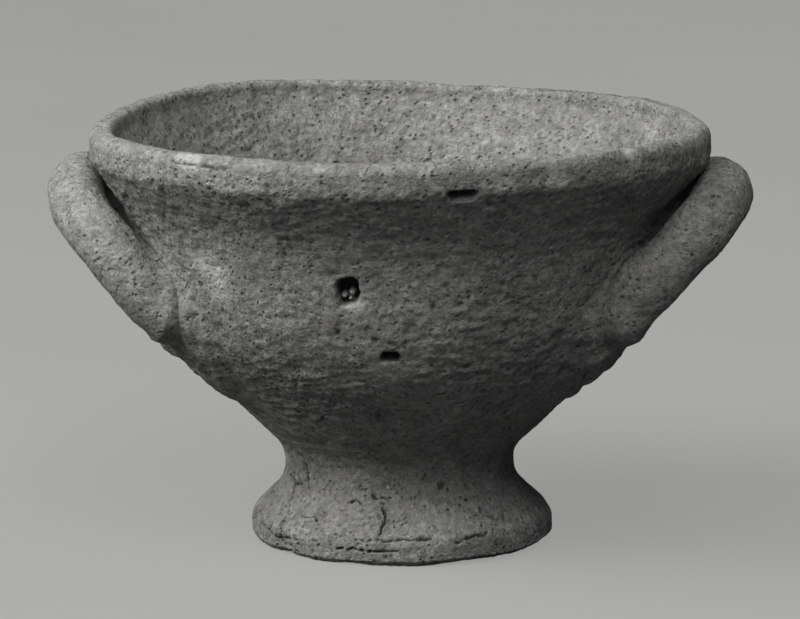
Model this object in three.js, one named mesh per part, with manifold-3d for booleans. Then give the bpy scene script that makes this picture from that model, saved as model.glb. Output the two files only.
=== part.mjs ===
import * as THREE from 'three';
import { RoundedBoxGeometry } from 'three/addons/geometries/RoundedBoxGeometry.js';
import { mergeVertices } from 'three/addons/utils/BufferGeometryUtils.js';
import Module from 'manifold-3d';

const wasm = await Module();
wasm.setup();

// Driving dimensions. Lengths are millimetres, angles degrees.
// Radii are measured from the bowl's upright axis, and each height from the one before it.

// Outer shape, from the ground up to the rim
const footRadius = 39.2;
const footEdgeHeight = 6.7;
const footEdgeFillet = 4.5;
const footFlareHeight = 9.3;
const footFlareFillet = 10.2;
const stemRadius = 29.5;
const stemLength = 8.3;
const stemTopFillet = 9.3;
const coneHeight = 31.6;
const shoulderRadius = 63;
const shoulderFillet = 50;
const sideHeight = 30.1;
const neckRadius = 69;
const neckFillet = 40;
const flareHeight = 15.3;
const rimRadius = 80;
const lipHeight = 7.7;
const lipThickness = 6.4;
const lipFillet = 3;

// Inside of the bowl
const wall = 7;
const floorThickness = 9.7;
const floorFillet = 14;

// Where the bowl sits on its foot, and the band of clay pressed into that joint
const jointGap = 0.3;
const seatRise = 2;
const seatWidth = 8;
const seatOverlap = 4;
const bandDepth = 2.6;
const bandLap = 1.8;
const bandReach = 4.3;
const bandEdge = 1.8;

// Hollow underside of the foot
const groundRingWidth = 8.4;
const groundRingFillet = 1.2;
const footBoreDepth = 4;
const footBoreFillet = 6;

// Coil handles, one at each end of the X axis
const coilRadius = 7.8;
const apexGap = 2;
const apexDrop = 8.9;
const loopRise = 25.1;
const loopHalfSpan = 34;
const loopSquareness = 2.5;
const rootStandoff = 3.2;
const rootBurial = 18;
const rootDrop = 13;

// Wads of clay smeared over each handle end and down the wall below it
const wadHalfWidth = 16;
const wadHalfHeight = 19;
const wadThickness = 4.6;
const wadDrop = 9;

// Unevenness of hand work: waves in the rim's height, and a foot set a little to one side
const rimWaves = [
  { count: 2, height: 0.8, at: 119 },
  { count: 3, height: 0.45, at: 16 },
  { count: 4, height: 0.6, at: 39 },
];
const footShift = 0.8;

// Holes where lumps in the clay burst or fell out, by their drop from the rim
const burstHoles = [
  { angle: -98, drop: 33.2, width: 6.2, tall: 7, depth: 3.6 },
  { angle: -75.7, drop: 7.4, width: 8, tall: 2.4, depth: 3 },
  { angle: -88.8, drop: 50.3, width: 4.4, tall: 2.6, depth: 2.6 },
];

// How finely round shapes are divided
const turnSteps = 48;
const cornerStep = 20;
const coilSides = 12;
const coilSteps = 22;
const loopPoints = 12;
const wadSteps = 16;

// Heights above the ground
const stemBottom = footEdgeHeight + footFlareHeight;
const stemTop = stemBottom + stemLength;
const shoulderHeight = stemTop + coneHeight;
const neckHeight = shoulderHeight + sideHeight;
const lipBottom = neckHeight + flareHeight;
const rimHeight = lipBottom + lipHeight;
const seatHeight = stemBottom + seatRise;
const baseHeight = seatHeight + jointGap;
const floorHeight = baseHeight + floorThickness;
const bandBottom = seatHeight - bandLap;
const bandTop = stemTop + bandReach;

// Radii that the bowl's base, the foot and the band share
const seatRadius = stemRadius - bandDepth;
const boreRadius = seatRadius - seatWidth;
const baseRadius = boreRadius + seatOverlap;

// Corners of the pot's outer face, from the ground to the top of the rim
const outerCorners = [
  { r: footRadius, z: 0 },
  { r: footRadius, z: footEdgeHeight, fillet: footEdgeFillet },
  { r: stemRadius, z: stemBottom, fillet: footFlareFillet },
  { r: stemRadius, z: stemTop, fillet: stemTopFillet },
  { r: shoulderRadius, z: shoulderHeight, fillet: shoulderFillet },
  { r: neckRadius, z: neckHeight, fillet: neckFillet },
  { r: rimRadius, z: lipBottom, fillet: lipFillet },
  { r: rimRadius, z: rimHeight, fillet: lipFillet },
];

const outerLine = roundedLine([...outerCorners, ...innerCorners()]);

// Corners of the bowl's inside, from the lip down to the middle of the floor, a wall's thickness in
function innerCorners() {
  const [stem, shoulder, neck, lip] = offsetCorners(outerCorners.slice(3), -wall);
  const share = (floorHeight - stem.z) / (shoulder.z - stem.z);
  return [
    { r: rimRadius - lipThickness, z: rimHeight, fillet: lipFillet },
    { r: rimRadius - lipThickness, z: lip.z, fillet: neckFillet },
    neck,
    shoulder,
    { r: THREE.MathUtils.lerp(stem.r, shoulder.r, share), z: floorHeight, fillet: floorFillet },
    { r: 0, z: floorHeight },
  ];
}

// A line through the corners, with each filleted corner turned into an arc
function roundedLine(corners) {
  const points = corners.map((corner) => new THREE.Vector2(corner.r, corner.z));
  const last = points.length - 1;
  const line = [points[0]];
  for (let i = 1; i < last; i += 1) {
    line.push(...roundedCorner(points[i - 1], points[i], points[i + 1], corners[i].fillet));
  }
  line.push(points[last]);
  return line;
}

// The arc that rounds one corner, no larger than half of the shorter side beside it allows
function roundedCorner(before, corner, after, fillet) {
  const back = before.clone().sub(corner);
  const ahead = after.clone().sub(corner);
  const room = Math.min(back.length(), ahead.length()) / 2;
  back.normalize();
  ahead.normalize();
  const turn = Math.PI - Math.acos(THREE.MathUtils.clamp(back.dot(ahead), -1, 1));
  const radius = Math.min(fillet, room / Math.tan(turn / 2));
  const steps = Math.ceil(turn / THREE.MathUtils.degToRad(cornerStep));
  const toCentre = back.clone().add(ahead).normalize();
  const centre = corner.clone().addScaledVector(toCentre, radius / Math.cos(turn / 2));
  const start = corner.clone().addScaledVector(back, radius * Math.tan(turn / 2));
  const direction = Math.sign(ahead.cross(back));
  const arc = [];
  for (let i = 0; i <= steps; i += 1) {
    arc.push(start.clone().rotateAround(centre, (direction * turn * i) / steps));
  }
  return arc;
}

// The same corners moved sideways, outwards for a rising line and a positive distance
function offsetCorners(corners, distance) {
  const points = corners.map((corner) => new THREE.Vector2(corner.r, corner.z));
  const sides = points.slice(1).map((point, i) => point.clone().sub(points[i]).normalize());
  return corners.map((corner, i) => {
    const before = sides[Math.max(i - 1, 0)];
    const after = sides[Math.min(i, sides.length - 1)];
    const middle = before.clone().add(after).normalize();
    const slide = distance / middle.dot(before);
    const fillet = (corner.fillet ?? 0) + Math.sign(before.cross(after)) * distance;
    return { r: corner.r + middle.y * slide, z: corner.z - middle.x * slide, fillet: Math.max(fillet, 0) };
  });
}

// Radius and slope of the outer face at a height
function firstAbove(height) {
  return outerLine.findIndex((point) => point.y > height);
}

function radiusAt(height) {
  const above = outerLine[firstAbove(height)];
  const below = outerLine[firstAbove(height) - 1];
  return THREE.MathUtils.mapLinear(height, below.y, above.y, below.x, above.x);
}

function slopeAt(height) {
  return Math.atan((radiusAt(height + wall / 2) - radiusAt(height - wall / 2)) / wall);
}

function outerPoint(height) {
  return new THREE.Vector2(radiusAt(height), height);
}

// The stretch of the outer face between two heights, cut exactly there
function outerBetween(low, high) {
  return [outerPoint(low), ...outerLine.slice(firstAbove(low), firstAbove(high)), outerPoint(high)];
}

function lathe(line) {
  return new THREE.LatheGeometry(line, turnSteps).rotateX(Math.PI / 2);
}

// Solids for joining and cutting
function toSolid(geometry) {
  geometry.deleteAttribute('normal');
  geometry.deleteAttribute('uv');
  const merged = mergeVertices(geometry);
  const vertProperties = new Float32Array(merged.attributes.position.array);
  const triVerts = [];
  for (let i = 0; i < merged.index.count; i += 3) {
    const [a, b, c] = merged.index.array.slice(i, i + 3);
    if (a !== b && b !== c && c !== a) {
      triVerts.push(a, b, c);
    }
  }
  return new wasm.Manifold(new wasm.Mesh({ numProp: 3, vertProperties, triVerts: new Uint32Array(triVerts) }));
}

function toGeometry(solid) {
  const { vertProperties, triVerts } = solid.getMesh();
  const geometry = new THREE.BufferGeometry();
  geometry.setAttribute('position', new THREE.BufferAttribute(vertProperties, 3));
  geometry.setIndex(new THREE.BufferAttribute(triVerts, 1));
  return geometry;
}

// The same unevenness for every piece, so that the joints between them stay closed
function makeUneven(geometry) {
  const position = geometry.attributes.position;
  const point = new THREE.Vector3();
  for (let i = 0; i < position.count; i += 1) {
    point.fromBufferAttribute(position, i);
    const angle = Math.atan2(point.y, point.x);
    let rise = 0;
    for (const wave of rimWaves) {
      rise += wave.height * Math.cos(wave.count * (angle - THREE.MathUtils.degToRad(wave.at)));
    }
    const reach = Math.hypot(point.x, point.y) / rimRadius;
    const high = THREE.MathUtils.smootherstep(point.z, stemTop, rimHeight);
    const low = 1 - THREE.MathUtils.smoothstep(point.z, 0, stemTop);
    position.setXYZ(i, point.x + footShift * low, point.y, point.z + rise * reach * high);
  }
  geometry.computeVertexNormals();
  return geometry;
}

function piece(name, solid, material) {
  const mesh = new THREE.Mesh(makeUneven(toGeometry(solid)), material);
  mesh.name = name;
  return mesh;
}

const bodyClay = new THREE.MeshStandardMaterial({ color: 0x8c8c88, roughness: 0.93, metalness: 0 });
const handleClay = new THREE.MeshStandardMaterial({ color: 0x8a8a86, roughness: 0.93, metalness: 0 });
const lutingClay = new THREE.MeshStandardMaterial({ color: 0x92928d, roughness: 0.95, metalness: 0 });

// Where the bowl's hidden lower cone meets the band's upper edge
const ledge = new THREE.Vector2(radiusAt(bandTop) - bandEdge, bandTop);

// Bowl with its rolled lip, stepped in below where the band of clay wraps it
function bowl() {
  const line = [
    new THREE.Vector2(0, baseHeight),
    new THREE.Vector2(baseRadius, baseHeight),
    ledge,
    outerPoint(bandTop),
    ...outerLine.slice(firstAbove(bandTop)),
  ];
  let solid = toSolid(lathe(line));
  for (const hole of burstHoles) {
    solid = solid.subtract(burstHole(hole));
  }
  return piece('bowl_body', solid, bodyClay);
}

function burstHole({ angle, drop, width, tall, depth }) {
  const height = rimHeight - drop;
  const rounding = Math.min(width, tall) / 3;
  const shape = new RoundedBoxGeometry(2 * depth, width, tall, 2, rounding);
  shape.translate(radiusAt(height), 0, height);
  shape.rotateZ(THREE.MathUtils.degToRad(angle));
  return toSolid(shape);
}

// Flared foot ring, hollow beneath and open up to the bowl's base
function foot() {
  const [, ...outer] = outerBetween(0, bandBottom);
  const groundRadius = footRadius - groundRingWidth;
  const hollow = roundedLine([
    { r: boreRadius, z: seatHeight },
    { r: boreRadius, z: seatHeight - footBoreDepth, fillet: footBoreFillet },
    { r: groundRadius, z: 0 },
  ]);
  const line = [
    new THREE.Vector2(groundRadius, 0),
    new THREE.Vector2(footRadius - groundRingFillet, 0),
    new THREE.Vector2(footRadius, groundRingFillet),
    ...outer,
    new THREE.Vector2(seatRadius, bandBottom),
    new THREE.Vector2(seatRadius, seatHeight),
    ...hollow,
  ];
  return piece('foot', toSolid(lathe(line)), bodyClay);
}

// Band of clay pressed into the groove between foot and bowl
function footBand() {
  const slope = (ledge.x - baseRadius) / (ledge.y - baseHeight);
  const aside = jointGap * Math.hypot(1, slope);
  const top = bandTop - jointGap;
  const bottom = bandBottom + jointGap;
  const line = [
    ...outerBetween(bottom, top),
    new THREE.Vector2(ledge.x - slope * jointGap + aside, top),
    new THREE.Vector2(baseRadius + aside, baseHeight),
    new THREE.Vector2(seatRadius + jointGap, baseHeight),
    new THREE.Vector2(seatRadius + jointGap, bottom),
    outerPoint(bottom),
  ];
  return piece('foot_band', toSolid(lathe(line)), lutingClay);
}

// The pot's filled outer shape, a joint's gap larger, which trims what is pressed onto it
function potTrimmer() {
  const line = roundedLine(offsetCorners(outerCorners, jointGap));
  const bottom = new THREE.Vector2(0, line[0].y);
  const top = new THREE.Vector2(0, line[line.length - 1].y);
  return toSolid(lathe([bottom, ...line, top]));
}

// A handle's coil runs as a squarish loop in a plane that rises outwards from its two roots
const apexHeight = lipBottom - apexDrop;
const rootHeight = apexHeight - loopRise;
const apexReach = radiusAt(apexHeight) + apexGap + coilRadius;
const rootReach = Math.sqrt((radiusAt(rootHeight) + rootStandoff) ** 2 - loopHalfSpan ** 2);

function handlePath() {
  const points = [];
  for (let i = 0; i <= loopPoints; i += 1) {
    const turn = (Math.PI * i) / loopPoints;
    const across = Math.sign(Math.cos(turn)) * Math.abs(Math.cos(turn)) ** (2 / loopSquareness);
    const out = Math.sin(turn) ** (2 / loopSquareness);
    const reach = THREE.MathUtils.lerp(rootReach, apexReach, out);
    points.push(new THREE.Vector3(reach, -loopHalfSpan * across, rootHeight + loopRise * out));
  }
  points.unshift(buriedEnd(points[0]));
  points.push(buriedEnd(points[points.length - 1]));
  return new THREE.CatmullRomCurve3(points, false, 'centripetal');
}

// Each end of the coil bends into the wall
function buriedEnd(root) {
  const end = root.clone().setZ(0);
  end.setLength(end.length() - rootBurial);
  return end.setZ(root.z - rootDrop);
}

function coil(radius) {
  const section = new THREE.Shape().absarc(0, 0, radius, 0, 2 * Math.PI);
  const options = { steps: coilSteps, curveSegments: coilSides, bevelEnabled: false };
  return toSolid(new THREE.ExtrudeGeometry(section, { ...options, extrudePath: handlePath() }));
}

// A flat lump that lies against the wall, over the root on one side of the handle
function wad(side) {
  const height = rootHeight - wadDrop;
  const shape = new THREE.SphereGeometry(1, wadSteps, wadSteps / 2);
  shape.scale(wadThickness, wadHalfWidth, wadHalfHeight);
  shape.rotateY(slopeAt(height));
  shape.translate(radiusAt(height), 0, height);
  shape.rotateZ(Math.atan2(side * loopHalfSpan, rootReach));
  return toSolid(shape);
}

// Both handles are alike, the left one turned half round, so its front end is the other's back
function handles() {
  const group = new THREE.Group();
  const trimmer = potTrimmer();
  const loop = coil(coilRadius).subtract(trimmer);
  const loopTrimmer = coil(coilRadius + jointGap);
  for (const [hand, turn, front] of [['right', 0, -1], ['left', 180, 1]]) {
    group.add(piece(`${hand}_handle`, loop.rotate([0, 0, turn]), handleClay));
    for (const [end, side] of [['front', front], ['back', -front]]) {
      const lump = wad(side).subtract(trimmer).subtract(loopTrimmer);
      group.add(piece(`${hand}_handle_${end}_wad`, lump.rotate([0, 0, turn]), lutingClay));
    }
  }
  return group;
}

const footedBowl = new THREE.Group();
footedBowl.add(bowl(), foot(), footBand(), handles());

export default footedBowl;
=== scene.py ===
import math

import bpy
import numpy as np
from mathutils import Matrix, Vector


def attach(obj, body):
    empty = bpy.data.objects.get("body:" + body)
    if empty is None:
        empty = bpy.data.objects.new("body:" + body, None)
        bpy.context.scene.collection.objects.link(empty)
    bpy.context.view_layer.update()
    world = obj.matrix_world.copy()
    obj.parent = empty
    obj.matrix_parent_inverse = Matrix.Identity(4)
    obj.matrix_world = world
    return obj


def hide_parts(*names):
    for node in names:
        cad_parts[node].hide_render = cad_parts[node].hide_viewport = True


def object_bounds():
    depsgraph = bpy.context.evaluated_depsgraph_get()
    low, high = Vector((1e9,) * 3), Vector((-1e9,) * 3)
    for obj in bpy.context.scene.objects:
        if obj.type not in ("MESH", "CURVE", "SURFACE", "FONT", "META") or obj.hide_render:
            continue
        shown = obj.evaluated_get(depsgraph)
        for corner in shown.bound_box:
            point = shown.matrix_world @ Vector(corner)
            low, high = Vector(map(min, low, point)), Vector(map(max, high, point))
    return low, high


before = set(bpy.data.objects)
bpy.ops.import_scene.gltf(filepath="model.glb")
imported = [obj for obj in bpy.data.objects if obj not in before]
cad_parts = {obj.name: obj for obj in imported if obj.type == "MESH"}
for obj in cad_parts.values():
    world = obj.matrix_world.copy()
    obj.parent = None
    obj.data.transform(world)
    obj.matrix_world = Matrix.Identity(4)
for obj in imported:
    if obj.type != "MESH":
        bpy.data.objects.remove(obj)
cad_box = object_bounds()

# Driving sizes. Lengths are millimetres and angles degrees, as in the CAD part.
MM = 0.001
WALL = 7
STEM_TOP = 24.3
RIM_RADIUS = 80
RIM_HEIGHT = 109
LIP_THICKNESS = 6.4
LIP_FILLET = 3
NECK_FILLET = 40

# The lip's lower edge is rounded more softly here than the 3 mm of the CAD part
LIP_EDGE_FILLET = 5

# Corners of the pot's outer face: radius, height, fillet
OUTER_CORNERS = [
    (39.2, 0, 0),
    (39.2, 6.7, 4.5),
    (29.5, 16, 10.2),
    (29.5, STEM_TOP, 9.3),
    (63, 55.9, 50),
    (69, 86, NECK_FILLET),
    (RIM_RADIUS, 101.3, LIP_EDGE_FILLET),
    (RIM_RADIUS, RIM_HEIGHT, LIP_FILLET),
]
FLOOR_HEIGHT = 28
FLOOR_FILLET = 14

# Hidden joint between bowl, foot and band, and the recess under the foot
BASE_HEIGHT = 18.3
BASE_RADIUS = 22.9
BAND_BOTTOM = 16.2
BAND_TOP = 28.6
BAND_EDGE = 1.8
SEAT_RADIUS = 26.9
SEAT_HEIGHT = 18
JOINT_GAP = 0.3
GROUND_RADIUS = 30.8
GROUND_ROUND = 1.2
BORE_RADIUS = 18.9
BORE_TOP = 14
BORE_FILLET = 6

# Handle coil: a squarish loop that rises outwards from its two roots
COIL_RADIUS = 7.8
APEX_REACH = 83.4
APEX_HEIGHT = 92.4
ROOT_REACH = 59.2
ROOT_HEIGHT = 67.3
LOOP_HALF_SPAN = 34
LOOP_SQUARENESS = 2.5
LOOP_POINTS = 400
ROOT_BURIAL = 18
ROOT_DROP = 13
SOFTENING_PASSES = 12
COIL_SHRINK = 0.25

# Lengths along the coil from either end: the part hidden in the wall, and the stretches over which
# it reaches its full thickness, gains its fillet of smeared clay, and leaves the wall
HIDDEN_END = 14
END_TAPER = (3, 27)
END_FILLET = (6, 16)
LUTED_END = (30, 52)
END_SLIMNESS = 0.62

# Wads of clay over the handle ends. Each is a sheet on the wall, a little larger than its lump.
WAD_HALF_WIDTH = 19
WAD_HALF_HEIGHT = 23
WAD_THICKNESS = 4
WAD_BULGE = 1.1
WAD_HEIGHT = 56.5
WAD_SHEET_HEIGHT = WAD_HEIGHT + 5
WAD_MARGIN = 13
WAD_UPRIGHT_MARGIN = 0.7 * WAD_MARGIN
WAD_THIN_EDGE = 0.12
FEATHER = 0.45

# Fillet of smeared clay round a coil: its size above and below, the heights between which one turns
# into the other, how sharply it meets the wad, and how far off a coil counts where it stands free
SMEAR_ABOVE = 4
SMEAR_BELOW = 10
WAD_SMEAR_BELOW = 13
SMEAR_TURN = (61, 73)
MEETING_POWER = 2.5
FREE_COIL_GAP = 9
LEAST_LUTED = 0.05
LEAST_SMEARED = 0.02

# Unevenness of hand work: waves in the rim's height and under the foot (count, height, angle),
# and a foot set to one side
RIM_WAVES = [(2, 0.8, 119), (3, 0.45, 16), (4, 0.6, 39)]
FOOT_SHIFT = 0.8
GROUND_WAVES = [(2, 0.25, 150), (5, 0.12, 70), (9, 0.1, 20)]
GROUND_WAVE_TOP = 5
GROUND_WAVE_RADII = (28, 32)

# Burst holes: angle, height, width, tallness, depth
BURST_HOLES = [
    (-97.9, 75.8, 5.7, 6.7, 3.8),
    (-75.7, 100.8, 7.6, 2.9, 3.2),
    (-88.8, 58.7, 4.4, 2.6, 2.6),
]

# Cracks: points as (angle, height), width, depth
CRACKS = [
    ([(-121, 41), (-118.5, 38.6), (-115, 38), (-112, 39.6)], 0.45, 0.9),
    ([(-144, 24.5), (-141.5, 21.6), (-140.5, 18)], 0.5, 1.1),
    ([(-158, 17.6), (-150, 15.8), (-144, 17.2)], 0.5, 1),
    ([(-150, 15.8), (-147, 12.5)], 0.4, 0.8),
    ([(-120, 15.5), (-115.6, 14.2), (-109, 15.4), (-104, 13.6)], 0.45, 0.8),
    ([(-101, 17), (-98.1, 15.6), (-92, 16.2)], 0.5, 0.8),
    ([(-96, 14.8), (-93.8, 10.6), (-95.5, 7.2)], 0.5, 1.1),
    ([(-104, 6.8), (-95.5, 7.2), (-84, 6.6), (-76, 7.4)], 0.45, 0.9),
    ([(-47, 10.4), (-43.1, 9.4), (-38, 10.2)], 0.5, 0.9),
    ([(-132, 9.8), (-126, 10.4), (-121, 9.6)], 0.4, 0.7),
    ([(-114, 3.6), (-106, 4.2), (-97, 3.4), (-88, 4.4)], 0.45, 0.8),
    ([(-70, 5.2), (-60, 6.6), (-52, 7.4)], 0.45, 0.8),
    ([(-157, 5.9), (-152.2, 5.3), (-143, 4.2), (-131, 4.8)], 0.5, 0.9),
    ([(-131, 106.9), (-126.7, 106.4), (-122.5, 107.2), (-118, 106.5)], 0.5, 0.8),
    ([(-133.5, 107.9), (-130.4, 107.2)], 0.4, 0.6),
    ([(-165, 72), (-161, 67.7), (-156.3, 66.2), (-151, 62)], 0.7, 1.5),
    ([(-170, 58), (-164, 56.5), (-158, 57.5)], 0.5, 1),
    ([(-166, 49), (-160, 47.5), (-153, 48.8)], 0.5, 1),
    ([(-24, 74), (-29, 70.5), (-36, 68.5)], 0.5, 1.1),
    ([(150, 92), (141, 93.5), (133, 91)], 0.4, 0.7),
    ([(62, 38), (70, 36.5), (80, 38.5)], 0.5, 0.8),
]
CRACK_MARGIN = 3
# Painted shade along the cracks
CRACK_PAINTED_SHADE = 0.9

# Other marks at known places, each place as (angle, height): chips and dimples with size and depth,
# grains in the largest burst hole and pale patches with size
CHIPS = [((9.4, 8.4), 3.2, 1.1), ((-138, 2), 4, 0.6), ((-166, 6.5), 3, 0.5)]
DIMPLES = [((-95.2, 73.1), 2, 0.5), ((-84, 66), 2.4, 0.4), ((-120, 62), 2.2, 0.4)]
GRAINS = [((-98.9, 74.1), 0.9), ((-97.2, 74.9), 1), ((-97.5, 73.3), 0.7)]
GRAIN_HEIGHT = 1.8
PALE_PATCHES = [
    ((-130.4, 78.8), 8.5),
    ((-127, 108), 6),
    ((-41, 107.5), 5),
    ((-97, 73.5), 3.2),
    ((-58, 104), 4),
]
PATCH_PALENESS = 0.75

# Distances, in shares of a mark's size, over which it fades out
CHIP_FADE = 0.35
DIMPLE_FADE = (0.3, 0.9)
GRAIN_FADE = (0.6, 1.1)
PATCH_FADE = (0.3, 1.1)
HOLE_FADE = (0.88, 1.08)
HOLE_SQUARENESS = 3.4

# Unevenness of the clay: size, height and seed of each noise that is added up
SWELLS = [(27, 0.42, 1), (11, 0.26, 2), (4.6, 0.2, 3)]
COARSENESS = [(2.1, 0.17, 4), (1.1, 0.15, 5)]
ROUGH_AREAS = [(24, 0.5, 6)]
COIL_SWELLS = [(13, 0.5, 111), (6, 0.25, 112)]
PIT_BEND = [(1.2, 0.45, 8)]
LIP_PIT_AREAS = [(16, 0.4, 50)]
CRACK_WANDER = [(2.4, 0.7, 31), (0.9, 0.35, 35)]
HOLE_EDGE = [(1.6, 0.16, 57), (3.5, 0.12, 58)]
CHIP_EDGE = [(2.5, 0.8, 71)]
PATCH_EDGE = [(3.4, 0.5, 81)]
PATCH_MOTTLE = [(1.5, 0.25, 82)]
WAD_EDGE = [(9, 0.16, 101), (4, 0.1, 102)]
WAD_LUMPS = [(7, 0.34, 103), (3.2, 0.22, 104)]
SMEAR_UNEVENNESS = [(8, 0.25, 105)]

# Wiping marks: a stretched noise, faint at least and strong where the clay is rough
STREAK_LENGTH = 4.2
STREAK_WIDTH = 1.3
STREAKS = [(1, 1, 7), (0.5, 0.6, 12)]
STREAK_HEIGHTS = (0.07, 0.34)
STREAK_AREAS = (0.35, 0.75)
STREAKS_LEFT_ON_RIM = 0.3

# Scattered spots: spacing, radius, share of places that have one, and seed. Pits add depth and painted
# shade.
PITS = [
    (7.5, 1.2, 0.7, 11, 0.6, 0.5),
    (3.4, 0.8, 0.7, 21, 0.42, 0.36),
    (1.7, 0.52, 0.9, 41, 0.25, 0.24),
]
# The most painted shade that overlapping pits add; dense pits below get painted shade as strong as their
# depth
MOST_PAINTED_PIT_SHADE = 0.5
DENSE_PITS = (1.9, 0.78, 1, 51)
DENSE_PIT_DEPTH = 0.65
DENSE_AREAS = (0.66, 0.9)
DENSE_AREA_SHARE = 0.8
TEMPER = (3.3, 0.7, 0.7, 61)
TEMPER_HEIGHT = 0.2
TEMPER_PALENESS = 0.5
PALE_TEMPER_SEED = 62
PALE_TEMPER_FROM = 0.2
HOLE_LUMPS = (2.2, 1.3, 0.9, 91)
HOLE_LUMP_HEIGHT = 0.9
SPOT_JITTER = 0.3
SPOT_SPREAD = 0.3

# Heights between which the surface turns coarse, streaked, smooth again on the rim, and densely pitted
COARSE_FROM = (24, 40)
STREAKED_FROM = (26, 40)
SMOOTH_FROM = (100, 106)
LEAST_COARSE = 0.55
LIP_PITS_FROM = (95, 99)
LIP_PITS_TO = (104.5, 107)
LIP_PIT_RADII = (RIM_RADIUS - 5, RIM_RADIUS - 3)

# Factors that scatter the lattice cells of the noise
CELL_FACTORS = (73856093, 19349663, 83492791)
SEED_FACTOR = 974711
MIX_FACTOR = 1274126177

# Fineness of the meshes
GRID = 0.5
FOOT_GRID = 0.3
OUTLINE_STEP = GRID / 4
TURN_STEPS = 960
COIL_SIDES = 100
PATH_STEP = 1
PATH_STRIDE = 4
ARC_STEP = 3
ROW_COLUMNS = 5

# Clay colours, and the tones between which they are mottled
BODY_SHADE = (0.27, 0.27, 0.26)
ADDED_SHADE = (0.275, 0.275, 0.265)
TEMPER_COLOUR = (0.5, 0.5, 0.48, 1)
SPECK_COLOUR = (0.035, 0.035, 0.033, 1)
PALE_COLOUR = (0.58, 0.58, 0.56, 1)
# Painted shade for pits, cracks and burst holes
PAINTED_SHADE_COLOUR = (0.02, 0.02, 0.019, 1)
NOISE_RANGE = (0.3, 0.7)
MOTTLE_TONES = (0.72, 1.26)
GRIT_TONES = (0.52, 1.44)
PALE_STRENGTH = 0.85
# How far the painted shade darkens the clay
PAINTED_SHADE_STRENGTH = 0.94
BUMP_HEIGHT = 0.0016
CLAY_ROUGHNESS = 0.93
CLAY_SPECULAR = 0.18

# Flecks in the clay: cells in a metre, edge and strength, and patches in a metre with their edge
SPECKS = (620, (0.12, 0.36), 0.45, 330, (0.46, 0.56))
PALE_FLECKS = (410, (0.14, 0.26), 0.55, 210, (0.56, 0.64))

# Floor in metres. Its colours are as the camera sees it, glowing and lit, and as it throws light back.
FLOOR_SIZE = 8
FLOOR_TONES = (0.97, 1.03)
FLOOR_GLOW = (0.41, 0.413, 0.403)
FLOOR_GLOW_STRENGTH = 0.745
FLOOR_LIT = (0.082, 0.082, 0.081, 1)
FLOOR_BOUNCE = (0.1, 0.1, 0.1, 1)

# Lights in metres and watts: place, size, power. The world only fills the shadows.
WINDOW = ((-1.1, -0.45, 1.15), 1.1, 37)
SKYLIGHT = ((0.15, -0.9, 1.35), 1, 15)
LIGHT_AIM = (0, 0, 0.06)
FILL_COLOUR = (0.9, 0.95, 1, 1)
FILL_STRENGTH = 0.02

# Camera as fitted to the photograph, in metres and degrees, with its lens in millimetres
CAMERA_PLACE = (0.0691, -1.198, 0.279)
CAMERA_TURN = (79.63, 0, 3.3)
LENS = 211.5
SENSOR_WIDTH = 36
VIEW_DISTANCE = 50


def smoothstep(value, low, high):
    share = np.clip((value - low) / (high - low), 0, 1)
    return share * share * (3 - 2 * share)


def blend(first, second, share):
    return first + (second - first) * share


def unit(vector):
    return vector / np.linalg.norm(vector, axis=-1, keepdims=True)


# Outline of the pot

def rounded_corner(before, corner, after, fillet):
    """The arc that rounds one corner, as part.mjs draws it but in finer steps."""
    back = before - corner
    ahead = after - corner
    room = min(np.linalg.norm(back), np.linalg.norm(ahead)) / 2
    back = unit(back)
    ahead = unit(ahead)
    turn = math.pi - math.acos(np.clip(back @ ahead, -1, 1))
    radius = min(fillet, room / math.tan(turn / 2))
    steps = math.ceil(turn / math.radians(ARC_STEP))
    centre = corner + unit(back + ahead) * radius / math.cos(turn / 2)
    start = corner + back * radius * math.tan(turn / 2) - centre
    direction = math.copysign(1, ahead[0] * back[1] - ahead[1] * back[0])
    angle = direction * turn * np.arange(steps + 1) / steps
    arc = np.stack([start[0] * np.cos(angle) - start[1] * np.sin(angle),
                    start[0] * np.sin(angle) + start[1] * np.cos(angle)], -1)
    return centre + arc


def rounded_line(corners):
    points = [np.array(corner[:2], float) for corner in corners]
    line = [points[:1]]
    for i in range(1, len(points) - 1):
        line.append(rounded_corner(points[i - 1], points[i], points[i + 1], corners[i][2]))
    line.append(points[-1:])
    return np.concatenate(line)


def offset_corners(corners, distance):
    """The same corners moved sideways, outwards for a rising line and a positive distance."""
    points = np.array([corner[:2] for corner in corners], float)
    sides = unit(np.diff(points, axis=0))
    moved = []
    for i, (corner, point) in enumerate(zip(corners, points)):
        before = sides[max(i - 1, 0)]
        after = sides[min(i, len(sides) - 1)]
        middle = unit(before + after)
        slide = distance / (middle @ before)
        bend = before[0] * after[1] - before[1] * after[0]
        fillet = max(corner[2] + np.sign(bend) * distance, 0)
        moved.append((point[0] + middle[1] * slide, point[1] - middle[0] * slide, fillet))
    return moved


def inner_corners():
    stem, shoulder, neck, lip = offset_corners(OUTER_CORNERS[3:7], -WALL)
    share = (FLOOR_HEIGHT - stem[1]) / (shoulder[1] - stem[1])
    inside = RIM_RADIUS - LIP_THICKNESS
    return [
        (inside, RIM_HEIGHT, LIP_FILLET),
        (inside, lip[1], NECK_FILLET),
        neck,
        shoulder,
        (stem[0] + share * (shoulder[0] - stem[0]), FLOOR_HEIGHT, FLOOR_FILLET),
        (0, FLOOR_HEIGHT, 0),
    ]


def lengths_along(line):
    """Distance along a line to each of its points; a turned surface's rows count as (radius, height)."""
    place = line[:, :2] if line.shape[1] == ROW_COLUMNS else line
    return np.concatenate([[0], np.cumsum(np.linalg.norm(np.diff(place, axis=0), axis=1))])


def evenly(line, spacing):
    """The same line with points a steady distance apart."""
    along = lengths_along(line)
    places = np.linspace(0, along[-1], max(2, math.ceil(along[-1] / spacing) + 1))
    return np.stack([np.interp(places, along, column) for column in line.T], -1)


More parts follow.
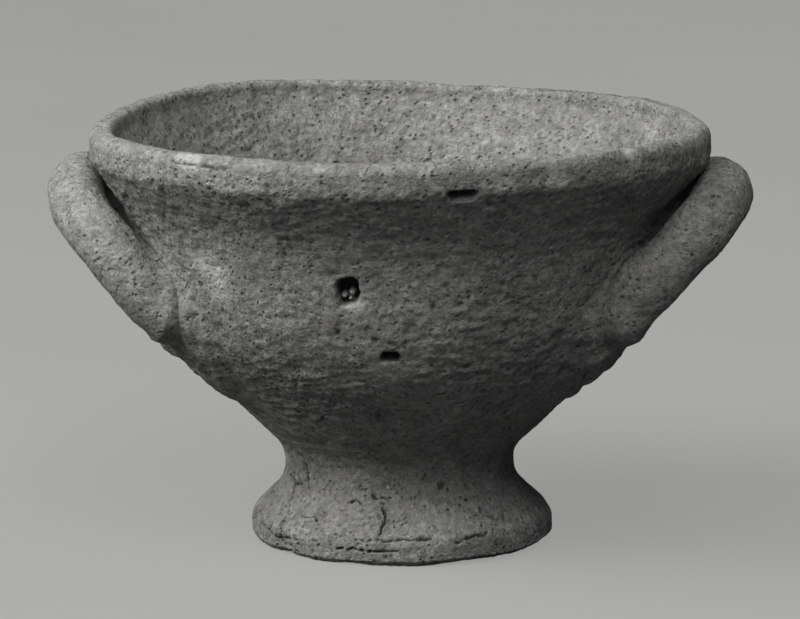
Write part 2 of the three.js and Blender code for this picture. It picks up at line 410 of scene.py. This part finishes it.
OUTLINE = evenly(rounded_line(OUTER_CORNERS + inner_corners()), OUTLINE_STEP)
OUTER_END = int(np.argmax(OUTLINE[:, 1] > RIM_HEIGHT - LIP_FILLET))
OUTER_FACE = OUTLINE[:OUTER_END]


def radius_at(height):
    return np.interp(height, OUTER_FACE[:, 1], OUTER_FACE[:, 0])


def slope_at(height):
    return np.arctan((radius_at(height + 2) - radius_at(height - 2)) / 4)


def open_rows(line):
    """Rows of a turned surface that is seen: radius, height, the way out, and full relief."""
    tangent = unit(np.gradient(line, axis=0))
    return np.column_stack([line, tangent[:, 1], -tangent[:, 0], np.ones(len(line))])


def hidden_rows(line):
    """Rows inside a joint, left without relief."""
    return np.column_stack([line, np.zeros((len(line), 3))])


OUTLINE_ROWS = open_rows(OUTLINE)


def row_at(height):
    rows = OUTLINE_ROWS[:OUTER_END]
    return np.array([np.interp(height, rows[:, 1], column) for column in rows.T])


def outline_between(low, high, spacing):
    """Rows of the outer face between two heights, or on over the lip to the floor where high is None."""
    start = int(np.argmax(OUTLINE[:, 1] > low))
    if high is None:
        return evenly(np.concatenate([[row_at(low)], OUTLINE_ROWS[start:]]), spacing)
    stop = int(np.argmax(OUTLINE[:, 1] > high))
    return evenly(np.concatenate([[row_at(low)], OUTLINE_ROWS[start:stop], [row_at(high)]]), spacing)


def joined(seen, hidden, closed):
    """Seen rows and hidden ones, with the shared rows doubled so that each keeps its own shading."""
    parts = [hidden_rows(hidden), seen[:1], seen]
    if closed:
        parts = [seen, seen[-1:], hidden_rows(hidden), seen[:1]]
    return np.concatenate(parts)


# Seeded noise, in space, so that pieces which meet carry the same relief

def hashed(cell, seed):
    """A repeatable random number from -1 to 1 for each whole-number cell."""
    x, y, z = (cell[..., axis] * factor for axis, factor in enumerate(CELL_FACTORS))
    mixed = x ^ y ^ z ^ (seed * SEED_FACTOR)
    mixed = (mixed ^ (mixed >> 13)) * MIX_FACTOR
    mixed = mixed ^ (mixed >> 16)
    return (mixed & 0xFFFF) / 32767.5 - 1


def noise(points, size, seed):
    """Smooth random heights from -1 to 1, about one hill in each stretch of that size."""
    place = points / size
    cell = np.floor(place).astype(np.int64)
    part = place - cell
    part = part * part * (3 - 2 * part)
    total = np.zeros(len(points))
    for corner in np.ndindex(2, 2, 2):
        corner = np.array(corner)
        share = np.prod(np.where(corner == 1, part, 1 - part), axis=-1)
        total += share * hashed(cell + corner, seed)
    return total


def layers(points, kinds):
    """Several noises added up, each given by its size, height and seed."""
    return sum(height * noise(points, size, seed) for size, height, seed in kinds)


def wander(points, kinds):
    """A shift of each point, with its own noise along each axis."""
    shifts = []
    for axis in range(3):
        shifts.append(layers(points, [(size, height, seed + axis) for size, height, seed in kinds]))
    return np.stack(shifts, -1)


def spots(points, size, radius, share, seed):
    """How near each point is to the middle of a scattered round spot: 1 in the middle, 0 outside."""
    base = np.floor(points / size - 0.5).astype(np.int64)
    near = np.zeros(len(points))
    for corner in np.ndindex(2, 2, 2):
        cell = base + np.array(corner)
        jitter = np.stack([hashed(cell, seed + axis) for axis in range(3)], -1) * SPOT_JITTER
        centre = (cell + 0.5 + jitter) * size
        reach = radius * (1 - SPOT_SPREAD + SPOT_SPREAD * hashed(cell, seed + 3))
        apart = np.linalg.norm(points - centre, axis=1) / reach
        there = hashed(cell, seed + 4) < 2 * share - 1
        near = np.maximum(near, np.where(there, np.clip(1 - apart * apart, 0, 1), 0))
    return near


# Relief of the clay

def on_wall(angle, height):
    turn = np.radians(angle)
    radius = radius_at(height)
    return np.stack([radius * np.cos(turn), radius * np.sin(turn), height + 0 * turn], -1)


def distance_to(points, place):
    return np.linalg.norm(points - on_wall(*place), axis=1)


def crack_depth(points, path, width):
    """1 on the line of a ragged crack, 0 beside it."""
    line = on_wall(*np.array(path, float).T)
    above = points > line.min(0) - CRACK_MARGIN
    close = np.all(above & (points < line.max(0) + CRACK_MARGIN), axis=1)
    deep = np.zeros(len(points))
    near = points[close]
    if len(near):
        near = near + wander(near, CRACK_WANDER)
        apart = np.full(len(near), np.inf)
        for start, end in zip(line, line[1:]):
            side = end - start
            share = np.clip((near - start) @ side / (side @ side), 0, 1)
            apart = np.minimum(apart, np.linalg.norm(near - start - share[:, None] * side, axis=1))
        deep[close] = np.clip(1 - (apart / width) ** 2, 0, 1)
    return deep


def hole_depth(points, angle, height, width, tall):
    """1 inside a squarish burst hole with ragged edges, 0 outside and on the wall's inner face."""
    centre = on_wall(angle, height)
    close = np.linalg.norm(points - centre, axis=1) < width + tall
    inside = np.zeros(len(points))
    near = points[close]
    turn = math.radians(angle)
    across = (near - centre) @ np.array([-math.sin(turn), math.cos(turn), 0])
    outwards = (near - centre) @ np.array([math.cos(turn), math.sin(turn), 0])
    up = near[:, 2] - height
    size = np.abs(2 * across / width) ** HOLE_SQUARENESS + np.abs(2 * up / tall) ** HOLE_SQUARENESS
    edge = size ** (1 / HOLE_SQUARENESS) + layers(near, HOLE_EDGE)
    inside[close] = (1 - smoothstep(edge, *HOLE_FADE)) * (np.abs(outwards) < WALL / 2)
    return inside


def wiping_streaks(points):
    """Wiping marks that run round the pot, fainter on the rim and none on the foot."""
    up = points[:, 2]
    way_round = np.arctan2(points[:, 1], points[:, 0]) * np.hypot(points[:, 0], points[:, 1])
    stretched = np.stack([way_round / STREAK_LENGTH, 0 * up, up / STREAK_WIDTH], -1)
    left = smoothstep(up, *STREAKED_FROM) * blend(1, STREAKS_LEFT_ON_RIM, smoothstep(up, *SMOOTH_FROM))
    return layers(stretched, STREAKS) * left


def lip_pits(points):
    """Where the outer side of the lip is densely pitted."""
    radius = np.hypot(points[:, 0], points[:, 1])
    band = smoothstep(points[:, 2], *LIP_PITS_FROM) * (1 - smoothstep(points[:, 2], *LIP_PITS_TO))
    uneven = 1 - LIP_PIT_AREAS[0][1] + layers(points, LIP_PIT_AREAS)
    return band * smoothstep(radius, *LIP_PIT_RADII) * uneven


def grainy_relief(points, wiping):
    """Swells, grain, wiping marks, temper and pits, which cover all the clay, with painted shade in the
    pits.
    """
    up = points[:, 2]
    wall = smoothstep(up, *COARSE_FROM) * (1 - smoothstep(up, *SMOOTH_FROM))
    rough = 0.5 + layers(points, ROUGH_AREAS)
    height = layers(points, SWELLS) + blend(LEAST_COARSE, 1, wiping * wall) * layers(points, COARSENESS)
    if wiping:
        height += blend(*STREAK_HEIGHTS, smoothstep(rough, *STREAK_AREAS)) * wiping_streaks(points)
    bent = points + wander(points, PIT_BEND)
    dense_area = np.maximum(lip_pits(points), DENSE_AREA_SHARE * smoothstep(rough, *DENSE_AREAS))
    dense = spots(bent, *DENSE_PITS) * dense_area
    temper = spots(bent, *TEMPER)
    height += TEMPER_HEIGHT * temper - DENSE_PIT_DEPTH * dense
    # Painted shade in the pits, strongest in dense pits
    painted_shade = np.zeros(len(points))
    for *kind, depth, pit_shade in PITS:
        pits = spots(bent, *kind)
        height -= depth * pits
        painted_shade += pit_shade * pits
    painted_shade = np.maximum(np.minimum(painted_shade, MOST_PAINTED_PIT_SHADE), dense)
    cell = np.floor(points / TEMPER[0]).astype(np.int64)
    pale = TEMPER_PALENESS * temper * (hashed(cell, PALE_TEMPER_SEED) > PALE_TEMPER_FROM)
    return height, painted_shade, pale


def relief(points, wiping=1):
    """Height of the clay's surface over its plain shape, how much painted shade its pits, cracks and holes
    get, and how pale it is there.
    """
    height, painted_shade, pale = grainy_relief(points, wiping)
    for path, width, depth in CRACKS:
        deep = crack_depth(points, path, width)
        height -= depth * deep
        # Cracks get painted shade
        painted_shade = np.maximum(painted_shade, CRACK_PAINTED_SHADE * deep)
    for place, size, depth in CHIPS:
        apart = distance_to(points, place) + layers(points, CHIP_EDGE)
        height -= depth * (1 - smoothstep(apart, CHIP_FADE * size, size))
    for place, size, depth in DIMPLES:
        height -= depth * (1 - smoothstep(distance_to(points, place) / size, *DIMPLE_FADE))
    for place, size in PALE_PATCHES:
        apart = distance_to(points, place) / size + layers(points, PATCH_EDGE)
        mottled = PATCH_PALENESS + layers(points, PATCH_MOTTLE)
        pale = np.maximum(pale, mottled * (1 - smoothstep(apart, *PATCH_FADE)))
    for angle, middle, width, tall, depth in BURST_HOLES:
        inside = hole_depth(points, angle, middle, width, tall)
        lumps = HOLE_LUMP_HEIGHT * spots(points, *HOLE_LUMPS)
        height = height * (1 - inside) + inside * (lumps - depth)
        # Burst holes are filled with painted shade, which their pale grains clear again
        painted_shade = np.maximum(painted_shade * (1 - inside), inside)
    for place, size in GRAINS:
        there = 1 - smoothstep(distance_to(points, place) / size, *GRAIN_FADE)
        height += GRAIN_HEIGHT * there
        painted_shade = painted_shade * (1 - there)
        pale = np.maximum(pale, there)
    return height, painted_shade, pale


def shaped(points):
    """The unevenness that the CAD part has, and the wavy edge that the foot stands on."""
    angle = np.arctan2(points[:, 1], points[:, 0])
    radius = np.hypot(points[:, 0], points[:, 1])
    rise = sum(tall * np.cos(count * (angle - math.radians(at))) for count, tall, at in RIM_WAVES)
    share = np.clip((points[:, 2] - STEM_TOP) / (RIM_HEIGHT - STEM_TOP), 0, 1)
    towards_rim = share ** 3 * (share * (6 * share - 15) + 10)
    wave = sum(tall * (1 + np.cos(count * (angle - math.radians(at)))) for count, tall, at in GROUND_WAVES)
    under_foot = (1 - smoothstep(points[:, 2], 0, GROUND_WAVE_TOP)) * smoothstep(radius, *GROUND_WAVE_RADII)
    moved = points.copy()
    moved[:, 0] += FOOT_SHIFT * (1 - smoothstep(points[:, 2], 0, STEM_TOP))
    moved[:, 2] += rise * radius / RIM_RADIUS * towards_rim + wave * under_foot
    return moved


# Meshes

def grid_faces(rows, columns, closed_rows):
    """Four-sided faces of a grid whose columns close into rings."""
    row = np.arange(rows if closed_rows else rows - 1)[:, None]
    column = np.arange(columns)[None, :]
    next_row = (row + 1) % rows
    next_column = (column + 1) % columns
    corners = [row * columns + column, row * columns + next_column,
               next_row * columns + next_column, next_row * columns + column]
    return np.stack(corners, -1).reshape(-1, 4)


def sheet_faces(rows, columns):
    """Four-sided faces of an open grid."""
    row = np.arange(rows - 1)[:, None]
    column = np.arange(columns - 1)[None, :]
    first = row * columns + column
    return np.stack([first, first + 1, first + columns + 1, first + columns], -1).reshape(-1, 4)


def clay_piece(node, points, faces, material, painted_shade, pale):
    """A mesh that stands for one CAD node, kept inside the CAD model's box."""
    low, high = (np.array(corner) for corner in cad_box)
    places = np.clip(shaped(points) * MM, low, high)
    mesh = bpy.data.meshes.new(node + "_clay")
    mesh.vertices.add(len(places))
    mesh.vertices.foreach_set("co", places.astype(np.float32).ravel())
    mesh.loops.add(faces.size)
    mesh.loops.foreach_set("vertex_index", faces.astype(np.int32).ravel())
    mesh.polygons.add(len(faces))
    mesh.polygons.foreach_set("loop_start", np.arange(0, faces.size, 4, dtype=np.int32))
    mesh.update(calc_edges=True)
    mesh.validate()
    mesh.shade_smooth()
    # Painted shade and paleness are stored on the mesh for its material
    for name, values in (("painted_shade", painted_shade), ("pale", pale)):
        mesh.attributes.new(name, "FLOAT", "POINT").data.foreach_set("value", values.astype(np.float32))
    mesh.materials.append(material)
    piece = bpy.data.objects.new(node + "_clay", mesh)
    bpy.context.scene.collection.objects.link(piece)
    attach(piece, "root")
    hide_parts(node)
    return piece


def turned_piece(node, rows, closed, material):
    """A turned piece: the rows swept round the axis, then given the clay's relief."""
    angle = np.linspace(-math.pi, math.pi, TURN_STEPS, endpoint=False)
    radius, height, out, up, seen = (column[:, None] for column in rows.T)
    cos = np.cos(angle)[None, :]
    sin = np.sin(angle)[None, :]
    flat = np.ones_like(cos)
    points = np.stack([radius * cos, radius * sin, height * flat], -1).reshape(-1, 3)
    way_out = np.stack([out * cos, out * sin, up * flat], -1).reshape(-1, 3)
    rise, painted_shade, pale = relief(points)
    rise = rise * (seen * flat).ravel()
    faces = grid_faces(len(rows), TURN_STEPS, closed)
    return clay_piece(node, points + way_out * rise[:, None], faces, material, painted_shade, pale)


def bowl(material):
    ledge = (radius_at(BAND_TOP) - BAND_EDGE, BAND_TOP)
    base = np.array([(0, BASE_HEIGHT), (BASE_RADIUS, BASE_HEIGHT), ledge])
    rows = joined(outline_between(BAND_TOP, None, GRID), base, False)
    rows[-1, 0] = 0
    return turned_piece("bowl_body", rows, False, material)


def foot(material):
    radius = OUTER_CORNERS[0][0]
    under = rounded_line([
        (BORE_RADIUS, SEAT_HEIGHT, 0),
        (BORE_RADIUS, BORE_TOP, BORE_FILLET),
        (GROUND_RADIUS, 0, 0),
    ])
    ground = np.array([(radius - GROUND_ROUND, 0), (radius, GROUND_ROUND)])
    below = open_rows(evenly(np.concatenate([under, ground]), GRID))
    outer = outline_between(GROUND_ROUND, BAND_BOTTOM, FOOT_GRID)
    seat = np.array([(SEAT_RADIUS, BAND_BOTTOM), (SEAT_RADIUS, SEAT_HEIGHT)])
    rows = joined(np.concatenate([below[:-1], outer]), seat, True)
    return turned_piece("foot", rows, True, material)


def foot_band(material):
    outer = outline_between(BAND_BOTTOM, BAND_TOP, FOOT_GRID)
    inner = np.array([
        (radius_at(BAND_TOP) - BAND_EDGE, BAND_TOP),
        (BASE_RADIUS + JOINT_GAP, BASE_HEIGHT),
        (SEAT_RADIUS + JOINT_GAP, BASE_HEIGHT),
        (SEAT_RADIUS + JOINT_GAP, BAND_BOTTOM),
    ])
    return turned_piece("foot_band", joined(outer, inner, True), True, material)


# Handles

def loop_path():
    """The coil's middle line, from one buried end to the other."""
    turn = np.linspace(0, math.pi, LOOP_POINTS)
    across = np.sign(np.cos(turn)) * np.abs(np.cos(turn)) ** (2 / LOOP_SQUARENESS)
    out = np.sin(turn) ** (2 / LOOP_SQUARENESS)
    reach = blend(ROOT_REACH, APEX_REACH, out)
    loop = np.stack([reach, -LOOP_HALF_SPAN * across, blend(ROOT_HEIGHT, APEX_HEIGHT, out)], -1)
    ends = []
    for root in (loop[0], loop[-1]):
        share = 1 - ROOT_BURIAL / math.hypot(root[0], root[1])
        ends.append((root[0] * share, root[1] * share, root[2] - ROOT_DROP))
    path = evenly(np.concatenate([ends[:1], loop, ends[1:]]), PATH_STEP)
    for _ in range(SOFTENING_PASSES):
        path[1:-1] = (path[:-2] + 2 * path[1:-1] + path[2:]) / 4
    return evenly(path, GRID)


PATH = loop_path()
PATH_ALONG = lengths_along(PATH)
PATH_FROM_END = np.minimum(PATH_ALONG, PATH_ALONG[-1] - PATH_ALONG)

# 1 where the coil is luted to the wall, falling to 0 where it stands free
PATH_LUTED = 1 - smoothstep(PATH_FROM_END, *LUTED_END)


def smear(apart, size):
    """Thickness of a concave fillet of clay between two surfaces, at a distance from the other one."""
    size = np.maximum(size, 1e-6)
    near = np.clip(apart, size / 4, size)
    return (np.sqrt(size) - np.sqrt(near)) ** 2


def smear_size(height, below):
    return blend(below, SMEAR_ABOVE, smoothstep(height, *SMEAR_TURN))


def wad_centre_angle(side):
    return math.atan2(side * LOOP_HALF_SPAN, ROOT_REACH)


def wad_lumps(points, turn):
    """Thickness of a handle's two wads at points on the wall."""
    radius = np.hypot(points[:, 0], points[:, 1])
    angle = np.arctan2(points[:, 1], points[:, 0])
    ragged = 1 + layers(points, WAD_EDGE)
    lumps = 1 + layers(points, WAD_LUMPS)
    up = (points[:, 2] - WAD_HEIGHT) / math.cos(slope_at(WAD_HEIGHT)) / WAD_HALF_HEIGHT
    thickness = np.zeros(len(points))
    for side in (-1, 1):
        aside = (angle - turn - wad_centre_angle(side) + math.pi) % (2 * math.pi) - math.pi
        across = aside * radius / WAD_HALF_WIDTH
        inside = np.clip(1 - (across ** 2 + up ** 2) * ragged, 0, 1)
        thickness = np.maximum(thickness, WAD_THICKNESS * inside ** WAD_BULGE * lumps)
    return thickness


def wad_cover(points, turn):
    """Thickness of the wads together with the clay smeared round the coil."""
    cos = math.cos(turn)
    loop = points * np.array([cos, cos, 1])
    apart = np.full(len(points), np.inf)
    for i in np.where((PATH_LUTED > LEAST_LUTED) & (PATH_FROM_END > HIDDEN_END))[0][::PATH_STRIDE]:
        distance = np.linalg.norm(loop - PATH[i], axis=1) - COIL_RADIUS
        apart = np.minimum(apart, distance + FREE_COIL_GAP * (1 - PATH_LUTED[i]))
    size = smear_size(points[:, 2], WAD_SMEAR_BELOW) * (1 + layers(points, SMEAR_UNEVENNESS))
    both = wad_lumps(points, turn) ** MEETING_POWER + smear(apart, size) ** MEETING_POWER
    return both ** (1 / MEETING_POWER)


def wad(node, side, turn, material):
    """A lump smeared over one root, as a cover on the wall that thins out to nothing."""
    centre = wad_centre_angle(side) + turn
    half_width = WAD_HALF_WIDTH + WAD_MARGIN
    half_height = WAD_HALF_HEIGHT + WAD_UPRIGHT_MARGIN
    columns = int(2 * half_width / GRID)
    rows = int(2 * half_height / GRID)
    rise = np.linspace(-half_height, half_height, rows)[:, None]
    aside = np.linspace(-half_width, half_width, columns)[None, :]
    height = WAD_SHEET_HEIGHT + rise
    radius = radius_at(height)
    angle = centre + aside / radius_at(WAD_HEIGHT)
    slope = slope_at(height)
    flat = np.ones_like(angle)
    points = np.stack([radius * np.cos(angle), radius * np.sin(angle), height * flat], -1).reshape(-1, 3)
    out = np.cos(slope)
    way_out = np.stack([out * np.cos(angle), out * np.sin(angle), -np.sin(slope) * flat], -1).reshape(-1, 3)
    edge = 1 - np.maximum(np.abs(aside) / half_width, np.abs(rise) / half_height)
    cover = wad_cover(points, turn) * smoothstep(edge, 0, WAD_THIN_EDGE).ravel() - FEATHER
    grain, painted_shade, pale = relief(points)
    placed = points + way_out * (grain + cover)[:, None]
    return clay_piece(node, placed, sheet_faces(rows, columns), material, painted_shade, pale)


def handle(node, turn, material):
    """A rolled coil along the path, thickened where its clay is smeared onto the wall."""
    tangent = unit(np.gradient(PATH, axis=0))
    rise = np.array([APEX_REACH - ROOT_REACH, 0, APEX_HEIGHT - ROOT_HEIGHT])
    plane = unit(np.cross(rise, [0, 1, 0]))
    first = unit(plane - (tangent @ plane)[:, None] * tangent)
    second = np.cross(tangent, first)
    around = np.linspace(0, 2 * math.pi, COIL_SIDES, endpoint=False)[None, :, None]
    way_out = (first[:, None] * np.cos(around) + second[:, None] * np.sin(around)).reshape(-1, 3)
    middle = np.repeat(PATH, COIL_SIDES, axis=0)
    end = np.repeat(PATH_FROM_END, COIL_SIDES)
    slimness = blend(END_SLIMNESS, 1, smoothstep(end, *END_TAPER))
    cos = math.cos(turn)
    half_turn = np.array([cos, cos, 1])
    placed = (middle + COIL_RADIUS * slimness[:, None] * way_out) * half_turn
    up = placed[:, 2]
    angle = np.degrees(np.arctan2(placed[:, 1], placed[:, 0]))
    over = (np.hypot(placed[:, 0], placed[:, 1]) - radius_at(up)) * np.cos(slope_at(up))
    over -= wad_lumps(on_wall(angle, up), turn)
    luted = np.repeat(PATH_LUTED, COIL_SIDES)
    fillet = smear(np.maximum(over, 0), smear_size(up, SMEAR_BELOW) * luted) * (luted > LEAST_SMEARED)
    fillet *= smoothstep(end, *END_FILLET)
    height, painted_shade, pale = relief(placed, 0)
    height += layers(placed, COIL_SWELLS)
    placed = placed + way_out * half_turn * (height + fillet - COIL_SHRINK)[:, None]
    faces = grid_faces(len(PATH), COIL_SIDES, False)
    return clay_piece(node, placed, faces, material, painted_shade, pale)


# Materials

class Nodes:
    """A material's node tree, with one call for a node and what goes into it."""

    def __init__(self, name):
        self.material = bpy.data.materials.new(name)
        self.material.use_nodes = True
        self.tree = self.material.node_tree
        self.tree.nodes.clear()

    def add(self, kind, inputs, **settings):
        node = self.tree.nodes.new(kind)
        for name, value in settings.items():
            setattr(node, name, value)
        for name, value in inputs.items():
            if isinstance(value, bpy.types.NodeSocket):
                self.tree.links.new(value, node.inputs[name])
            else:
                node.inputs[name].default_value = value
        return node

    def noise(self, place, scale, detail, roughness=0.5):
        inputs = {"Vector": place, "Scale": scale, "Detail": detail, "Roughness": roughness}
        return self.add("ShaderNodeTexNoise", inputs).outputs["Fac"]

    def between(self, value, limits, results):
        low, high = limits
        at_low, at_high = results
        inputs = {"Value": value, "From Min": low, "From Max": high, "To Min": at_low, "To Max": at_high}
        return self.add("ShaderNodeMapRange", inputs).outputs["Result"]

    def maths(self, operation, first, second):
        return self.add("ShaderNodeMath", {0: first, 1: second}, operation=operation).outputs[0]

    def scaled(self, colour, tone):
        return self.add("ShaderNodeVectorMath", {0: colour, "Scale": tone}, operation="SCALE").outputs[0]

    def mix(self, share, first, second):
        node = self.add("ShaderNodeMix", {"Factor": share, "A": first, "B": second}, data_type="RGBA")
        return node.outputs["Result"]

    def attribute(self, name):
        return self.add("ShaderNodeAttribute", {}, attribute_name=name).outputs["Fac"]

    def flecks(self, place, density, edge, strength, patch_density, patch_edge):
        """Small round flecks, which come in patches."""
        cells = self.add("ShaderNodeTexVoronoi", {"Vector": place, "Scale": density})
        fleck = self.between(cells.outputs["Distance"], edge, (strength, 0))
        patches = self.between(self.noise(place, patch_density, detail=2), patch_edge, (0, 1))
        return self.maths("MULTIPLY", fleck, patches)


def clay(name, shade, stain):
    """Coarse fired clay: clouded and mottled grey with dark specks, pale grains, pits and grit, and painted
    shade in its pits, cracks and burst holes.
    """
    nodes = Nodes(name)
    place = nodes.add("ShaderNodeTexCoord", {}).outputs["Object"]
    clouds = nodes.between(nodes.noise(place, scale=24, detail=4), NOISE_RANGE, (1 - stain, 1 + stain))
    mottle = nodes.between(nodes.noise(place, 150, detail=5, roughness=0.7), NOISE_RANGE, MOTTLE_TONES)
    grit = nodes.between(nodes.noise(place, 700, detail=5, roughness=0.75), NOISE_RANGE, GRIT_TONES)
    tone = nodes.maths("MULTIPLY", nodes.maths("MULTIPLY", clouds, mottle), grit)
    specks = nodes.flecks(place, *SPECKS)
    pale_flecks = nodes.flecks(place, *PALE_FLECKS)
    colour = nodes.mix(pale_flecks, nodes.scaled(shade, tone), TEMPER_COLOUR)
    colour = nodes.mix(specks, colour, SPECK_COLOUR)
    pale = nodes.maths("MULTIPLY", nodes.attribute("pale"), PALE_STRENGTH)
    colour = nodes.mix(pale, colour, PALE_COLOUR)
    # Painted shade in pits, cracks and burst holes
    painted_shade = nodes.maths("MULTIPLY", nodes.attribute("painted_shade"), PAINTED_SHADE_STRENGTH)
    colour = nodes.mix(painted_shade, colour, PAINTED_SHADE_COLOUR)
    fine = nodes.noise(place, 900, detail=6, roughness=0.75)
    coarse = nodes.noise(place, 320, detail=4, roughness=0.6)
    grain = nodes.maths("ADD", nodes.maths("MULTIPLY", fine, 0.5), coarse)
    surface = nodes.maths("SUBTRACT", grain, specks)
    bump = nodes.add("ShaderNodeBump", {"Height": surface, "Strength": 1, "Distance": BUMP_HEIGHT})
    shader = nodes.add("ShaderNodeBsdfPrincipled", {
        "Base Color": colour,
        "Roughness": CLAY_ROUGHNESS,
        "Specular IOR Level": CLAY_SPECULAR,
        "Normal": bump.outputs["Normal"],
    })
    nodes.add("ShaderNodeOutputMaterial", {"Surface": shader.outputs[0]})
    return nodes.material


def pale_floor():
    """A plain pale floor, which the camera sees evenly lit but which throws little light back."""
    nodes = Nodes("pale_floor")
    place = nodes.add("ShaderNodeTexCoord", {}).outputs["Object"]
    cloud = nodes.between(nodes.noise(place, scale=3, detail=2), NOISE_RANGE, FLOOR_TONES)
    glow_colour = nodes.scaled(FLOOR_GLOW, cloud)
    glow = nodes.add("ShaderNodeEmission", {"Color": glow_colour, "Strength": FLOOR_GLOW_STRENGTH})
    lit = nodes.add("ShaderNodeBsdfDiffuse", {"Color": FLOOR_LIT})
    seen = nodes.add("ShaderNodeAddShader", {0: glow.outputs[0], 1: lit.outputs[0]})
    unseen = nodes.add("ShaderNodeBsdfDiffuse", {"Color": FLOOR_BOUNCE})
    camera_ray = nodes.add("ShaderNodeLightPath", {}).outputs["Is Camera Ray"]
    both = nodes.add("ShaderNodeMixShader", {0: camera_ray, 1: unseen.outputs[0], 2: seen.outputs[0]})
    nodes.add("ShaderNodeOutputMaterial", {"Surface": both.outputs[0]})
    return nodes.material


# Stage

def floor():
    half = FLOOR_SIZE / 2
    mesh = bpy.data.meshes.new("floor")
    corners = [(-half, -half, 0), (half, -half, 0), (half, half, 0), (-half, half, 0)]
    mesh.from_pydata(corners, [], [(0, 1, 2, 3)])
    mesh.materials.append(pale_floor())
    plane = bpy.data.objects.new("floor", mesh)
    bpy.context.scene.collection.objects.link(plane)


def area_light(name, place, size, power):
    """A square soft light that faces the bowl."""
    data = bpy.data.lights.new(name, "AREA")
    data.size = size
    data.energy = power
    light = bpy.data.objects.new(name, data)
    light.location = place
    aim = np.array(LIGHT_AIM) - np.array(place)
    level = math.hypot(aim[0], aim[1])
    light.rotation_euler = (math.atan2(level, -aim[2]), 0, math.atan2(-aim[0], aim[1]))
    bpy.context.scene.collection.objects.link(light)


def lights():
    area_light("window", *WINDOW)
    area_light("skylight", *SKYLIGHT)
    world = bpy.data.worlds.new("room")
    world.use_nodes = True
    background = world.node_tree.nodes["Background"]
    background.inputs["Color"].default_value = FILL_COLOUR
    background.inputs["Strength"].default_value = FILL_STRENGTH
    bpy.context.scene.world = world
    bpy.context.scene.view_settings.view_transform = "Standard"


def camera():
    data = bpy.data.cameras.new("camera")
    data.lens = LENS
    data.sensor_width = SENSOR_WIDTH
    data.clip_end = VIEW_DISTANCE
    eye = bpy.data.objects.new("camera", data)
    eye.location = CAMERA_PLACE
    eye.rotation_euler = [math.radians(turn) for turn in CAMERA_TURN]
    bpy.context.scene.collection.objects.link(eye)
    bpy.context.scene.camera = eye


body_clay = clay("coarse_body_clay", BODY_SHADE, stain=0.14)
handle_clay = clay("rolled_handle_clay", ADDED_SHADE, stain=0.13)
luting_clay = clay("smeared_luting_clay", ADDED_SHADE, stain=0.15)

bowl(body_clay)
foot(body_clay)
foot_band(luting_clay)
for hand, turn, front in (("right", 0, -1), ("left", math.pi, 1)):
    handle(hand + "_handle", turn, handle_clay)
    for end, side in (("front", front), ("back", -front)):
        wad(hand + "_handle_" + end + "_wad", side, turn, luting_clay)

floor()
lights()
camera()
